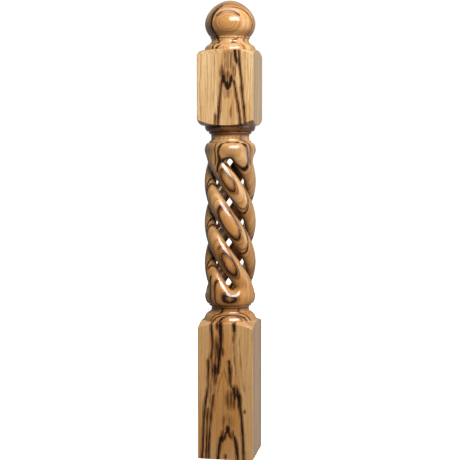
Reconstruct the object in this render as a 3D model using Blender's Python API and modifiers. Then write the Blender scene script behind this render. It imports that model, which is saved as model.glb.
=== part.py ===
"""Newel post with a ball top, two square blocks and a barley twist of four open strands, from one timber.

The post stands on its flat underside at z = 0, with its length along +Z and its front face towards -Y.
Lengths are in metres. Heights build up from the floor, so each length can be changed by itself.
"""

import math
from collections import namedtuple

import bmesh
import bpy

# Square blocks: the side of the timber, each block's length between its corners, and the turned shoulders
STOCK = 0.127
LOWER_BLOCK = 0.302
UPPER_BLOCK = 0.1425
SHOULDER_RISE = 0.0135
SHOULDER_INNER_RADIUS = 0.0605
SHOULDER_BULGE = 0.0018

# Rounds that stand on or hang under the blocks: radius at the widest, height, and how full the curve is
Round = namedtuple("Round", "radius height fullness")
LOWER_ROUND = Round(radius=0.0605, height=0.0160, fullness=1.5)
HANGING_ROUND = Round(radius=0.0577, height=0.0130, fullness=2.0)
TOP_ROUND = Round(radius=0.0578, height=0.0130, fullness=1.85)

# Necks, from the bottom up: a small step, a hollow with a straight waist, and a thin ring
Neck = namedtuple("Neck", "step_radius step hollow_radius hollow waist flare ring_radius ring")
LOWER_NECK = Neck(0.0488, 0.0015, 0.0436, 0.0080, 0.0025, 0.0045, 0.0487, 0.0045)
UPPER_NECK = Neck(0.0482, 0.0035, 0.0432, 0.0065, 0.0050, 0.0060, 0.0488, 0.0045)
TOP_NECK = Neck(0.0458, 0.0028, 0.0422, 0.0050, 0.0020, 0.0032, 0.0446, 0.0034)
LEDGE = 0.0014

# Ball: its diameter, its height above and its curve's height below the widest place, and how full its top is
BALL_DIAMETER = 0.114
BALL_ABOVE = 0.052
BALL_BELOW = 0.0465
BALL_FULLNESS = 1.8

# Barley twist: strands of a left-hand screw between two collars, open through to a hollow in the middle.
# SLOT_TURN is the angle from the front to a slot, at half the twist's height.
STRANDS = 4
PITCH = 0.369
TWIST_DIAMETER = 0.1173
TWIST_LENGTH = 0.3675
COLLAR_ROUND = 0.0205
SLOT_LENGTH = 0.297
SLOT_WIDTH = 0.0115
SLOT_TURN = math.radians(58.2)
WAIST_RADIUS = 0.0415
HOLLOW_RADIUS = 0.0315
HOLLOW_PAST_SLOTS = 0.012
STRAND_FULLNESS = 1.9

# How finely the curves are divided
SEGMENTS = 40
BALL_STEPS = 8
CURVE_STEPS = 4
SHORT_STEPS = 3
SIDE_ROWS = 18
END_ROWS = 2
OUTER_STEPS = 5
INNER_STEPS = 2

OBJECT_NAME = "barley_twist_newel"
NODE_NAME = "newel_post"
WOOD_COLOUR = (0.56, 0.32, 0.14, 1)
WOOD_ROUGHNESS = 0.32
FULL_TURN = 2 * math.pi
TENON = 0.004
MERGE = 1e-6

Z_LOWER_SHOULDER = LOWER_BLOCK + SHOULDER_RISE
Z_LOWER_NECK = Z_LOWER_SHOULDER + LOWER_ROUND.height


def neck_height(neck):
    return neck.step + neck.hollow + neck.waist + neck.flare + neck.ring


Z_TWIST = Z_LOWER_NECK + neck_height(LOWER_NECK)
Z_MIDDLE = Z_TWIST + TWIST_LENGTH / 2
Z_UPPER_NECK = Z_TWIST + TWIST_LENGTH
Z_HANGING_ROUND = Z_UPPER_NECK + neck_height(UPPER_NECK)
Z_UPPER_SHOULDER = Z_HANGING_ROUND + HANGING_ROUND.height
Z_UPPER_BLOCK = Z_UPPER_SHOULDER + SHOULDER_RISE
Z_TOP_ROUND = Z_UPPER_BLOCK + UPPER_BLOCK + SHOULDER_RISE
Z_TOP_NECK = Z_TOP_ROUND + TOP_ROUND.height
Z_BALL = Z_TOP_NECK + neck_height(TOP_NECK)

TWIST_RADIUS = TWIST_DIAMETER / 2
COLLAR_RADIUS = LOWER_NECK.ring_radius + LEDGE
CORNER_RADIUS = STOCK / math.sqrt(2)


def clear_scene():
    for obj in list(bpy.data.objects):
        bpy.data.objects.remove(obj, do_unlink=True)


def new_collection(name):
    collection = bpy.data.collections.new(name)
    bpy.context.scene.collection.children.link(collection)
    return collection


def new_object(name, mesh, collection):
    obj = bpy.data.objects.new(name, mesh)
    collection.objects.link(obj)
    return obj


def wood_material():
    material = bpy.data.materials.new("streaked_wood")
    material.use_nodes = True
    shader = material.node_tree.nodes["Principled BSDF"]
    shader.inputs["Base Color"].default_value = WOOD_COLOUR
    shader.inputs["Roughness"].default_value = WOOD_ROUGHNESS
    shader.inputs["Metallic"].default_value = 0
    return material


# Turned profile


def quarter(start, end, upright_first, steps, fullness=2.0):
    """Points after the start of a quarter curve that leaves one end upright and reaches the other level."""
    points = []
    for i in range(1, steps + 1):
        angle = math.pi / 2 * i / steps
        along = math.sin(angle) ** (2 / fullness)
        left = max(math.cos(angle), 0) ** (2 / fullness) if i < steps else 0
        if upright_first:
            radius = end[0] + (start[0] - end[0]) * left
            z = start[1] + (end[1] - start[1]) * along
        else:
            radius = start[0] + (end[0] - start[0]) * along
            z = end[1] + (start[1] - end[1]) * left
        points.append((radius, z))
    return points


def bowed(start, end, bulge, steps):
    """Points after the start of a shallow arc whose middle stands off its chord by the bulge, outwards."""
    run, rise = end[0] - start[0], end[1] - start[1]
    length = math.hypot(run, rise)
    points = []
    for i in range(1, steps + 1):
        share = i / steps
        off = bulge * 4 * share * (1 - share) / length
        points.append((start[0] + run * share + abs(rise) * off, start[1] + rise * share - run * off))
    return points


def neck_profile(neck, z):
    """Step, hollow and ring of one neck, going up from z."""
    z_hollow = z + neck.step
    z_waist = z_hollow + neck.hollow
    z_flare = z_waist + neck.waist
    z_ring = z_flare + neck.flare
    points = [(neck.step_radius, z), (neck.step_radius, z_hollow)]
    points += quarter(points[-1], (neck.hollow_radius, z_waist), False, SHORT_STEPS)
    points.append((neck.hollow_radius, z_flare))
    flare_end = (neck.ring_radius - LEDGE / 2, z_ring)
    points += quarter(points[-1], flare_end, True, SHORT_STEPS)
    points += bowed(flare_end, (neck.ring_radius - LEDGE / 2, z_ring + neck.ring), LEDGE / 2, 2)
    return points


def lower_profile():
    """Foot, square part, shoulder, round and neck, up to a tenon inside the lower collar."""
    beyond = CORNER_RADIUS * 1.1
    points = [(0, 0), (beyond, 0), (beyond, LOWER_BLOCK), (CORNER_RADIUS, LOWER_BLOCK)]
    points += bowed(points[-1], (SHOULDER_INNER_RADIUS, Z_LOWER_SHOULDER), SHOULDER_BULGE, CURVE_STEPS)
    points.append((LOWER_ROUND.radius, Z_LOWER_SHOULDER))
    neck_foot = (LOWER_NECK.step_radius + LEDGE, Z_LOWER_NECK)
    points += quarter(points[-1], neck_foot, True, CURVE_STEPS, LOWER_ROUND.fullness)
    points += neck_profile(LOWER_NECK, Z_LOWER_NECK)
    points.append((LOWER_NECK.ring_radius - LEDGE / 2, Z_TWIST + TENON))
    points.append((0, Z_TWIST + TENON))
    return points


def upper_profile():
    """From a tenon inside the upper collar to the top of the ball."""
    beyond = CORNER_RADIUS * 1.1
    tenon_radius = UPPER_NECK.step_radius
    points = [(0, Z_UPPER_NECK - TENON), (tenon_radius, Z_UPPER_NECK - TENON)]
    points += neck_profile(UPPER_NECK, Z_UPPER_NECK)
    points.append((UPPER_NECK.ring_radius + LEDGE, Z_HANGING_ROUND))
    widest = (HANGING_ROUND.radius, Z_UPPER_SHOULDER)
    points += quarter(points[-1], widest, False, CURVE_STEPS, HANGING_ROUND.fullness)
    points.append((SHOULDER_INNER_RADIUS, Z_UPPER_SHOULDER))
    points += bowed(points[-1], (CORNER_RADIUS, Z_UPPER_BLOCK), SHOULDER_BULGE, CURVE_STEPS)
    z_corner = Z_UPPER_BLOCK + UPPER_BLOCK
    points += [(beyond, Z_UPPER_BLOCK), (beyond, z_corner), (CORNER_RADIUS, z_corner)]
    points += bowed(points[-1], (SHOULDER_INNER_RADIUS, Z_TOP_ROUND), SHOULDER_BULGE, CURVE_STEPS)
    points.append((TOP_ROUND.radius, Z_TOP_ROUND))
    neck_foot = (TOP_NECK.step_radius + LEDGE / 2, Z_TOP_NECK)
    points += quarter(points[-1], neck_foot, True, CURVE_STEPS, TOP_ROUND.fullness)
    points += neck_profile(TOP_NECK, Z_TOP_NECK)
    points += ball_profile()
    return points


def ball_profile():
    """The ball grows out of the ring below it: a lower half that is cut off by the ring, and a higher top."""
    radius = BALL_DIAMETER / 2
    ring_radius = TOP_NECK.ring_radius - LEDGE / 2
    start = math.acos(ring_radius / radius)
    centre = Z_BALL + BALL_BELOW * math.sin(start)
    points = []
    for i in range(1, CURVE_STEPS + 1):
        angle = -start * (1 - i / CURVE_STEPS)
        points.append((radius * math.cos(angle), centre + BALL_BELOW * math.sin(angle)))
    for i in range(1, BALL_STEPS):
        angle = math.pi / 2 * i / BALL_STEPS
        reach, rise = (side ** (2 / BALL_FULLNESS) for side in (math.cos(angle), math.sin(angle)))
        points.append((radius * reach, centre + BALL_ABOVE * rise))
    points.append((0, centre + BALL_ABOVE))
    return points


def turned(name, points, collection):
    """A solid of revolution about Z, from a profile that is listed from the bottom up."""
    mesh = bpy.data.meshes.new(name)
    mesh.from_pydata([(r, 0, z) for r, z in reversed(points)], [(i, i + 1) for i in range(len(points) - 1)], [])
    obj = new_object(name, mesh, collection)
    screw = obj.modifiers.new("turn", "SCREW")
    screw.steps = screw.render_steps = SEGMENTS
    screw.use_merge_vertices = True
    screw.merge_threshold = MERGE
    return obj


# Barley twist


def twist_angle(z):
    """Angle of a slot's middle line at this height. The strands fall to the right as seen from the front."""
    return -FULL_TURN * (z - Z_MIDDLE) / PITCH


def slot_distance(angle, z):
    """How far a point lies outside the nearest slot, on the cylinder of the waist laid out flat.

    The angle is measured from that slot's own middle line.
    """
    across = WAIST_RADIUS * (angle + twist_angle(z))
    slope = math.atan2(PITCH, -FULL_TURN * WAIST_RADIUS)
    up = z - Z_MIDDLE
    half_line = (SLOT_LENGTH - SLOT_WIDTH) / 2 / math.sin(slope)
    along = across * math.cos(slope) + up * math.sin(slope)
    beside = -across * math.sin(slope) + up * math.cos(slope)
    past = max(abs(along) - half_line, 0)
    return math.hypot(beside, past) - SLOT_WIDTH / 2


def strand_half_width():
    slope = math.atan2(PITCH, FULL_TURN * WAIST_RADIUS)
    return FULL_TURN * WAIST_RADIUS / STRANDS / 2 * math.sin(slope) - SLOT_WIDTH / 2


def rounding(distance):
    """Share of the full depth that a strand's surface has reached at this distance from the slot's edge."""
    left = 1 - min(max(distance / strand_half_width(), 0), 1)
    return (1 - left**STRAND_FULLNESS) ** (1 / STRAND_FULLNESS)


def collar_radius(z):
    """Turned radius of the collars and of the blank that the strands are cut from."""
    past = abs(z - Z_MIDDLE) - (TWIST_LENGTH / 2 - COLLAR_ROUND)
    if past <= 0:
        return TWIST_RADIUS
    left = math.sqrt(max(1 - (past / COLLAR_ROUND) ** 2, 0))
    return COLLAR_RADIUS + (TWIST_RADIUS - COLLAR_RADIUS) * left


def skin_point(turn, angle, z, outside):
    """A point of the strands' outer or inner skin, in the cell of the slot at this turn."""
    share = rounding(slot_distance(angle, z))
    full = collar_radius(z) if outside else HOLLOW_RADIUS
    radius = WAIST_RADIUS + (full - WAIST_RADIUS) * share
    around = turn + angle + twist_angle(z) - math.pi / 2
    return (radius * math.cos(around), radius * math.sin(around), z)


def slot_edge(side_rows, end_columns):
    """Points (angle, z) round one slot's edge, starting at the foot of its right-hand side and going up."""
    slope = math.atan2(PITCH, -FULL_TURN * WAIST_RADIUS)
    half_line = (SLOT_LENGTH - SLOT_WIDTH) / 2 / math.sin(slope)
    along = (math.cos(slope), math.sin(slope))
    beside = (math.sin(slope), -math.cos(slope))
    flat = []
    for hand in (1, -1):
        for i in range(side_rows):
            reach = hand * half_line * (2 * i / side_rows - 1)
            off = hand * SLOT_WIDTH / 2
            flat.append((along[0] * reach + beside[0] * off, along[1] * reach + beside[1] * off))
        for i in range(end_columns):
            bend = math.pi * i / end_columns
            side = hand * SLOT_WIDTH / 2 * math.cos(bend)
            end = hand * (half_line + SLOT_WIDTH / 2 * math.sin(bend))
            flat.append((along[0] * end + beside[0] * side, along[1] * end + beside[1] * side))
    edge = []
    for across, up in flat:
        z = Z_MIDDLE + up
        edge.append((across / WAIST_RADIUS - twist_angle(z), z))
    return edge


def cell_border(side_rows, end_rows, columns, z_end):
    """Points (angle, z) round the border of one slot's cell, matched one to one with its edge."""
    half = FULL_TURN / STRANDS / 2
    z_row = SLOT_LENGTH / 2 - SLOT_WIDTH
    border = []
    for hand in (1, -1):
        for i in range(side_rows):
            border.append((hand * half, Z_MIDDLE + hand * z_row * (2 * i / side_rows - 1)))
        for i in range(end_rows):
            border.append((hand * half, Z_MIDDLE + hand * (z_row + (z_end - z_row) * i / end_rows)))
        for i in range(columns):
            border.append((hand * half * (1 - 2 * i / columns), Z_MIDDLE + hand * z_end))
        for i in range(end_rows):
            border.append((-hand * half, Z_MIDDLE + hand * (z_end - (z_end - z_row) * i / end_rows)))
    return border


def lip_steps(count):
    """Shares of the way from a slot's edge to the cell's border, close together where the lip curves most."""
    shares = []
    for i in range(count + 1):
        left = math.cos(math.pi / 2 * i / count) if i < count else 0
        shares.append(1 - left ** (2 / STRAND_FULLNESS))
    return shares


def add_skin(bm, turn, edge, border, steps, outside):
    """Rings of faces from a slot's edge out to its cell's border. Returns the border's vertices."""
    rings = []
    for share in lip_steps(steps):
        ring = []
        for near, far in zip(edge, border):
            angle = near[0] + (far[0] - near[0]) * share
            z = near[1] + (far[1] - near[1]) * share
            ring.append(bm.verts.new(skin_point(turn, angle, z, outside)))
        rings.append(ring)
    count = len(edge)
    for inner, outer in zip(rings, rings[1:]):
        for i in range(count):
            j = (i + 1) % count
            bm.faces.new((inner[i], inner[j], outer[j], outer[i]))
    return rings[-1]


def add_end_rows(bm, turn, columns, hand):
    """The collar's round, from the end of a slot's cell to the flat end of the twist."""
    half = FULL_TURN / STRANDS / 2
    rows = []
    for i in range(CURVE_STEPS + 1):
        past = COLLAR_ROUND * math.sin(math.pi / 2 * i / CURVE_STEPS)
        z = Z_MIDDLE + hand * (TWIST_LENGTH / 2 - COLLAR_ROUND + past)
        angles = [half * (2 * k / columns - 1) for k in range(columns + 1)]
        rows.append([bm.verts.new(skin_point(turn, angle, z, True)) for angle in angles])
    for low, high in zip(rows, rows[1:]):
        for k in range(columns):
            bm.faces.new((low[k], low[k + 1], high[k + 1], high[k]))


def close_ends(bm):
    """Fills the open loops left at the two flat ends of the twist and at the two ends of the hollow."""
    bmesh.ops.remove_doubles(bm, verts=bm.verts, dist=MERGE * 10)
    open_edges = [edge for edge in bm.edges if edge.is_boundary]
    bmesh.ops.holes_fill(bm, edges=open_edges)
    bmesh.ops.recalc_face_normals(bm, faces=bm.faces)


def barley_twist(name, collection):
    bm = bmesh.new()
    columns = SEGMENTS // STRANDS
    edge = slot_edge(SIDE_ROWS, columns + 2 * END_ROWS)
    outer_border = cell_border(SIDE_ROWS, END_ROWS, columns, TWIST_LENGTH / 2 - COLLAR_ROUND)
    inner_border = cell_border(SIDE_ROWS, END_ROWS, columns, SLOT_LENGTH / 2 + HOLLOW_PAST_SLOTS)
    for k in range(STRANDS):
        turn = SLOT_TURN + FULL_TURN * k / STRANDS
        add_skin(bm, turn, edge, outer_border, OUTER_STEPS, True)
        add_skin(bm, turn, edge, inner_border, INNER_STEPS, False)
        for hand in (1, -1):
            add_end_rows(bm, turn, columns, hand)
    close_ends(bm)
    mesh = bpy.data.meshes.new(name)
    bm.to_mesh(mesh)
    bm.free()
    return new_object(name, mesh, collection)


# Assembly


def square_timber(name, collection):
    """The square bar that the blocks keep, a little longer than the post at the top only."""
    height = Z_BALL + BALL_ABOVE + BALL_BELOW + STOCK
    bm = bmesh.new()
    bmesh.ops.create_cube(bm, size=1)
    bmesh.ops.scale(bm, vec=(STOCK, STOCK, height + STOCK), verts=bm.verts)
    bmesh.ops.translate(bm, vec=(0, 0, height / 2), verts=bm.verts)
    mesh = bpy.data.meshes.new(name)
    bm.to_mesh(mesh)
    bm.free()
    return new_object(name, mesh, collection)


def boolean(obj, name, operation, other):
    modifier = obj.modifiers.new(name, "BOOLEAN")
    modifier.operation = operation
    modifier.solver = "EXACT"
    modifier.object = other


def helper(obj):
    obj.hide_render = True
    obj.display_type = "WIRE"
    return obj


def build():
    clear_scene()
    parts = new_collection(OBJECT_NAME)
    cutters = new_collection(OBJECT_NAME + "_cutters")
    timber = helper(square_timber("square_timber", cutters))
    upper = helper(turned("turned_top", upper_profile(), cutters))
    twist = helper(barley_twist("open_twist", cutters))
    post = turned(NODE_NAME, lower_profile(), parts)
    boolean(upper, "square_sides", "INTERSECT", timber)
    boolean(post, "square_sides", "INTERSECT", timber)
    boolean(post, "add_twist", "UNION", twist)
    boolean(post, "add_top", "UNION", upper)
    post.data.shade_smooth()
    post.data.set_sharp_from_angle(angle=math.radians(30))
    post.data.materials.append(wood_material())


build()
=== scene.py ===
# %% [markdown]
# A barley twist newel post. It is one square timber: the corners stay where a rail is fixed and at the
# foot, the rest is turned, and between two collars four strands are carved and the heart between them is
# cut away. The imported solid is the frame. This script makes the fine surface over it, gives the wood its
# figure, and sets up a plain studio.

# %% Load the frame
import math
from collections import namedtuple

import bmesh
import bpy
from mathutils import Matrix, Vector


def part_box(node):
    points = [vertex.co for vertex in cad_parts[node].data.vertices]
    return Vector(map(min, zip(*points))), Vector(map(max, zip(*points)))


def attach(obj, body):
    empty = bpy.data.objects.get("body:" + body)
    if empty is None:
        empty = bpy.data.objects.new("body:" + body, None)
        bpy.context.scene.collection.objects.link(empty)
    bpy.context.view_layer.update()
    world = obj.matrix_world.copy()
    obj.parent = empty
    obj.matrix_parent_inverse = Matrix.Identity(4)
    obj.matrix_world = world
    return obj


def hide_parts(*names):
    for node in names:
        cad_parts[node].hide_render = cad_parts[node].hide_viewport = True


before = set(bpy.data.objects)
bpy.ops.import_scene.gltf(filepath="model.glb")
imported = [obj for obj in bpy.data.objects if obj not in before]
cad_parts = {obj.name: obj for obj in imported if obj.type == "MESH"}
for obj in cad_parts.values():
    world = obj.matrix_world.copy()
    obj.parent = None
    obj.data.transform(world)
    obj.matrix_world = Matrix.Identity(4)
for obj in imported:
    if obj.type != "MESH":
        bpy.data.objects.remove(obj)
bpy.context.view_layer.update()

NODE = "newel_post"
solid_low, solid_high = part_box(NODE)
print("The solid reaches from", tuple(solid_low), "to", tuple(solid_high))

# %% [markdown]
# The sizes are those of the solid, in metres, and heights build up from the floor. The timber's side is
# read from the frame. Naming each height once, from the bottom to the top, is how a turner marks out a
# pattern stick, and it keeps every moulding in its place when one of them changes.

# %% Sizes
STOCK = round(solid_high.x - solid_low.x, 6)
LOWER_BLOCK = 0.302
UPPER_BLOCK = 0.1425
SHOULDER_RISE = 0.0135
SHOULDER_INNER_RADIUS = 0.0605
SHOULDER_BULGE = 0.0018
EASED_EDGE = 0.0009
EASED_CORNER = 0.0016

Round = namedtuple("Round", "radius height fullness")
LOWER_ROUND = Round(0.0605, 0.0160, 1.5)
HANGING_ROUND = Round(0.0577, 0.0130, 2.0)
TOP_ROUND = Round(0.0578, 0.0130, 1.85)

Neck = namedtuple("Neck", "step_radius step hollow_radius hollow waist flare ring_radius ring")
LOWER_NECK = Neck(0.0488, 0.0015, 0.0436, 0.0080, 0.0025, 0.0045, 0.0487, 0.0045)
UPPER_NECK = Neck(0.0482, 0.0035, 0.0432, 0.0065, 0.0050, 0.0060, 0.0488, 0.0045)
TOP_NECK = Neck(0.0458, 0.0028, 0.0422, 0.0050, 0.0020, 0.0032, 0.0446, 0.0034)
LEDGE = 0.0014

BALL_DIAMETER = 0.114
BALL_ABOVE = 0.052
BALL_BELOW = 0.0465
BALL_FULLNESS = 1.8

STRANDS = 4
PITCH = 0.369
TWIST_DIAMETER = 0.1173
TWIST_LENGTH = 0.3675
COLLAR_ROUND = 0.0205
SLOT_LENGTH = 0.297
SLOT_WIDTH = 0.0115
SLOT_TURN = math.radians(58.2)
WAIST_RADIUS = 0.0415
HOLLOW_RADIUS = 0.0315
HOLLOW_PAST_SLOTS = 0.012
STRAND_FULLNESS = 1.9


def neck_height(neck):
    return neck.step + neck.hollow + neck.waist + neck.flare + neck.ring


Z_LOWER_SHOULDER = LOWER_BLOCK + SHOULDER_RISE
Z_LOWER_NECK = Z_LOWER_SHOULDER + LOWER_ROUND.height
Z_TWIST = Z_LOWER_NECK + neck_height(LOWER_NECK)
Z_MIDDLE = Z_TWIST + TWIST_LENGTH / 2
Z_UPPER_NECK = Z_TWIST + TWIST_LENGTH
Z_HANGING_ROUND = Z_UPPER_NECK + neck_height(UPPER_NECK)
Z_UPPER_SHOULDER = Z_HANGING_ROUND + HANGING_ROUND.height
Z_UPPER_BLOCK = Z_UPPER_SHOULDER + SHOULDER_RISE
Z_UPPER_CORNER = Z_UPPER_BLOCK + UPPER_BLOCK
Z_TOP_ROUND = Z_UPPER_CORNER + SHOULDER_RISE
Z_TOP_NECK = Z_TOP_ROUND + TOP_ROUND.height
Z_BALL = Z_TOP_NECK + neck_height(TOP_NECK)
HALF_STOCK = STOCK / 2
CORNER_RADIUS = STOCK / math.sqrt(2)
COLLAR_RADIUS = LOWER_NECK.ring_radius + LEDGE
FULL_TURN = 2 * math.pi
print("The twist runs from", round(Z_TWIST, 4), "to", round(Z_UPPER_NECK, 4))

# %% [markdown]
# The photograph is framed by one camera, level with the neck under the upper block, eleven degrees round
# to the right and tilted five degrees down. It is set up first, so that every later step can be looked at
# through it. The lens and the distance were worked out from the corners of the two square blocks.

# %% Camera
IMAGE_SIDE = 460
FOCAL_PIXELS = 1086.3
CAMERA_DISTANCE = 2.4822
CAMERA_HEIGHT = 0.7375
CAMERA_ROUND = math.radians(10.8)
CAMERA_DOWN = math.radians(4.989)
PHOTO_CENTRE_X = 230.2


def studio_camera():
    data = bpy.data.cameras.new("studio_camera")
    data.sensor_width = 36
    data.lens = FOCAL_PIXELS / IMAGE_SIDE * data.sensor_width
    data.shift_x = 0.5 - PHOTO_CENTRE_X / IMAGE_SIDE
    camera = bpy.data.objects.new("studio_camera", data)
    across = math.sin(CAMERA_ROUND) * CAMERA_DISTANCE
    back = -math.cos(CAMERA_ROUND) * CAMERA_DISTANCE
    camera.location = (across, back, CAMERA_HEIGHT)
    camera.rotation_euler = (math.pi / 2 - CAMERA_DOWN, 0, CAMERA_ROUND)
    bpy.context.scene.collection.objects.link(camera)
    bpy.context.scene.camera = camera
    return camera


camera = studio_camera()
print("Lens", round(camera.data.lens, 2), "mm")

# %% [markdown]
# A turned part is a profile swept round the axis. The curves of the profile are short formulas: a quarter
# curve that leaves one end upright and reaches the other level, and a shallow bow. Each gives the points
# after its start, so that a profile is built by adding one curve to the next.

# %% Profile curves
CURVE_STEPS = 12
BALL_STEPS = 26


def quarter(start, end, upright_first, steps=CURVE_STEPS, fullness=2.0):
    points = []
    for i in range(1, steps + 1):
        angle = math.pi / 2 * i / steps
        along = math.sin(angle) ** (2 / fullness)
        left = max(math.cos(angle), 0) ** (2 / fullness) if i < steps else 0
        if upright_first:
            radius = end[0] + (start[0] - end[0]) * left
            z = start[1] + (end[1] - start[1]) * along
        else:
            radius = start[0] + (end[0] - start[0]) * along
            z = end[1] + (start[1] - end[1]) * left
        points.append((radius, z))
    return points


def bowed_point(start, end, bulge, share):
    run, rise = end[0] - start[0], end[1] - start[1]
    off = bulge * 4 * share * (1 - share) / math.hypot(run, rise)
    return start[0] + run * share + abs(rise) * off, start[1] + rise * share - run * off


def bowed(start, end, bulge, steps):
    return [bowed_point(start, end, bulge, i / steps) for i in range(1, steps + 1)]


def neck_profile(neck, z):
    """A small step, a hollow with a straight waist, and a thin ring, going up from z."""
    z_hollow = z + neck.step
    z_waist = z_hollow + neck.hollow
    z_flare = z_waist + neck.waist
    z_ring = z_flare + neck.flare
    flare_end = (neck.ring_radius - LEDGE / 2, z_ring)
    points = [(neck.step_radius, z), (neck.step_radius, z_hollow)]
    points += quarter(points[-1], (neck.hollow_radius, z_waist), False)
    points.append((neck.hollow_radius, z_flare))
    points += quarter(points[-1], flare_end, True)
    points += bowed(flare_end, (flare_end[0], z_ring + neck.ring), LEDGE / 2, CURVE_STEPS // 2)
    return points


def ball_profile():
    """The ball grows out of the ring below it, flatter below its widest place than above."""
    radius = BALL_DIAMETER / 2
    start = math.acos((TOP_NECK.ring_radius - LEDGE / 2) / radius)
    centre = Z_BALL + BALL_BELOW * math.sin(start)
    points = []
    for i in range(1, CURVE_STEPS + 1):
        angle = -start * (1 - i / CURVE_STEPS)
        points.append((radius * math.cos(angle), centre + BALL_BELOW * math.sin(angle)))
    for i in range(1, BALL_STEPS + 1):
        angle = math.pi / 2 * i / BALL_STEPS
        reach = math.cos(angle) ** (2 / BALL_FULLNESS) if i < BALL_STEPS else 0
        points.append((radius * reach, centre + BALL_ABOVE * math.sin(angle) ** (2 / BALL_FULLNESS)))
    return points


print("The ball's profile ends at", round(ball_profile()[-1][1], 4), "of", round(solid_high.z, 4))

# %% [markdown]
# Where the timber stays square, the shoulder that the gouge cuts runs out through the flat faces in an
# arch. A Boolean between a lathe shape and a square bar would give that arch too, but with long thin
# triangles that catch the light. Here each column of points knows how far the square reaches in its own
# direction, so the arch and its eased edge fall on clean rows.

# %% Square blocks
COLUMNS = 160
CORNER_COLUMNS = [math.radians(a) for a in (0.35, 0.70, 1.0)]
FACE_ROWS = 8
SHOULDER_ROWS = 8
EASE_STEPS = 4
HALVINGS = 40


def column_angles():
    angles = [FULL_TURN * i / COLUMNS for i in range(COLUMNS)]
    for quarter_turn in range(4):
        corner = math.radians(45 + 90 * quarter_turn)
        for extra in CORNER_COLUMNS:
            angles += [corner - extra, corner + extra]
    return sorted(angles)


def square_reach(angle):
    """Distance from the axis to the square's face in this direction, round the eased corner too."""
    from_corner = (angle % (math.pi / 2)) - math.pi / 4
    flat = HALF_STOCK / math.cos(math.pi / 4 - abs(from_corner))
    centre = (HALF_STOCK - EASED_CORNER) * math.sqrt(2)
    side = centre * math.sin(from_corner)
    if abs(side) >= EASED_CORNER:
        return flat
    return min(flat, centre * math.cos(from_corner) + math.sqrt(EASED_CORNER**2 - side**2))


def shoulder_share(reach, start, end):
    """Share of the shoulder's curve, from its outer end, at which it meets the face. Found by halving."""
    low, high = 0.0, 1.0
    for _ in range(HALVINGS):
        middle = (low + high) / 2
        if bowed_point(start, end, SHOULDER_BULGE, middle)[0] > reach:
            low = middle
        else:
            high = middle
    return low


def shoulder_column(angle):
    """Over the arch's eased edge to the shoulder's inner end. Heights count from the corner."""
    start, end = (CORNER_RADIUS, 0), (SHOULDER_INNER_RADIUS, SHOULDER_RISE)
    reach = square_reach(angle)
    share = shoulder_share(reach, start, end)
    arris = bowed_point(start, end, SHOULDER_BULGE, share)
    eased = share + EASED_EDGE / math.dist(start, end)
    eased_share = min(eased, share + (1 - share) / 2)
    below = (reach, arris[1] - EASED_EDGE)
    above = bowed_point(start, end, SHOULDER_BULGE, eased_share)
    points = [(reach, arris[1] - 2 * EASED_EDGE)]
    for i in range(EASE_STEPS + 1):
        t = i / EASE_STEPS
        weights = ((1 - t) ** 2, 2 * t * (1 - t), t**2)
        corners = (below, (reach, arris[1]), above)
        points.append(tuple(sum(w * c[axis] for w, c in zip(weights, corners)) for axis in (0, 1)))
    for i in range(1, SHOULDER_ROWS + 1):
        point_share = eased_share + (1 - eased_share) * i / SHOULDER_ROWS
        points.append(bowed_point(start, end, SHOULDER_BULGE, point_share))
    return points


def face_column(angle, z_low, z_high):
    """Rows of a flat face, from one height to another, both left out."""
    reach = square_reach(angle)
    return [(reach, z_low + (z_high - z_low) * i / FACE_ROWS) for i in range(1, FACE_ROWS)]


def lower_column(angle):
    """Foot, lower block and its shoulder, in the direction of this column."""
    reach = square_reach(angle)
    points = [(0, 0), (reach - 2 * EASED_EDGE, 0), (reach - EASED_EDGE, 0), (reach, EASED_EDGE)]
    points.append((reach, 2 * EASED_EDGE))
    shoulder = [(r, LOWER_BLOCK + h) for r, h in shoulder_column(angle)]
    return points + face_column(angle, points[-1][1], shoulder[0][1]) + shoulder


def upper_column(angle):
    """Upper block between its two shoulders, from the bottom up."""
    below = [(r, Z_UPPER_BLOCK - h) for r, h in reversed(shoulder_column(angle))]
    above = [(r, Z_UPPER_CORNER + h) for r, h in shoulder_column(angle)]
    return below + face_column(angle, below[-1][1], above[0][1]) + above


print("Columns round the post:", len(column_angles()))

# %% [markdown]
# Each end of the post is now a list of points for every column: the square stretch from the functions
# above, and the turned stretch with one profile for all columns. Joining neighbours gives clean
# four-sided faces. The grid stays open where it will meet the twist.

# %% Grids for the two ends


def grid_mesh(name, columns, angles):
    mesh = bpy.data.meshes.new(name)
    rows = len(columns[0])
    points = []
    for column, angle in zip(columns, angles):
        points += [(r * math.cos(angle), r * math.sin(angle), z) for r, z in column]
    faces = []
    for i in range(len(columns)):
        here, there = i * rows, (i + 1) % len(columns) * rows
        faces += [(here + k, there + k, there + k + 1, here + k + 1) for k in range(rows - 1)]
    mesh.from_pydata(points, [], faces)
    print(name, "has", len(faces), "faces in", rows, "rows")
    return mesh


def lower_turning():
    neck_foot = (LOWER_NECK.step_radius + LEDGE, Z_LOWER_NECK)
    points = [(LOWER_ROUND.radius, Z_LOWER_SHOULDER)]
    points += quarter(points[-1], neck_foot, True, fullness=LOWER_ROUND.fullness)
    return points + neck_profile(LOWER_NECK, Z_LOWER_NECK)


def hanging_turning():
    points = neck_profile(UPPER_NECK, Z_UPPER_NECK)
    points.append((UPPER_NECK.ring_radius + LEDGE, Z_HANGING_ROUND))
    widest = (HANGING_ROUND.radius, Z_UPPER_SHOULDER)
    return points + quarter(points[-1], widest, False, fullness=HANGING_ROUND.fullness)


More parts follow.
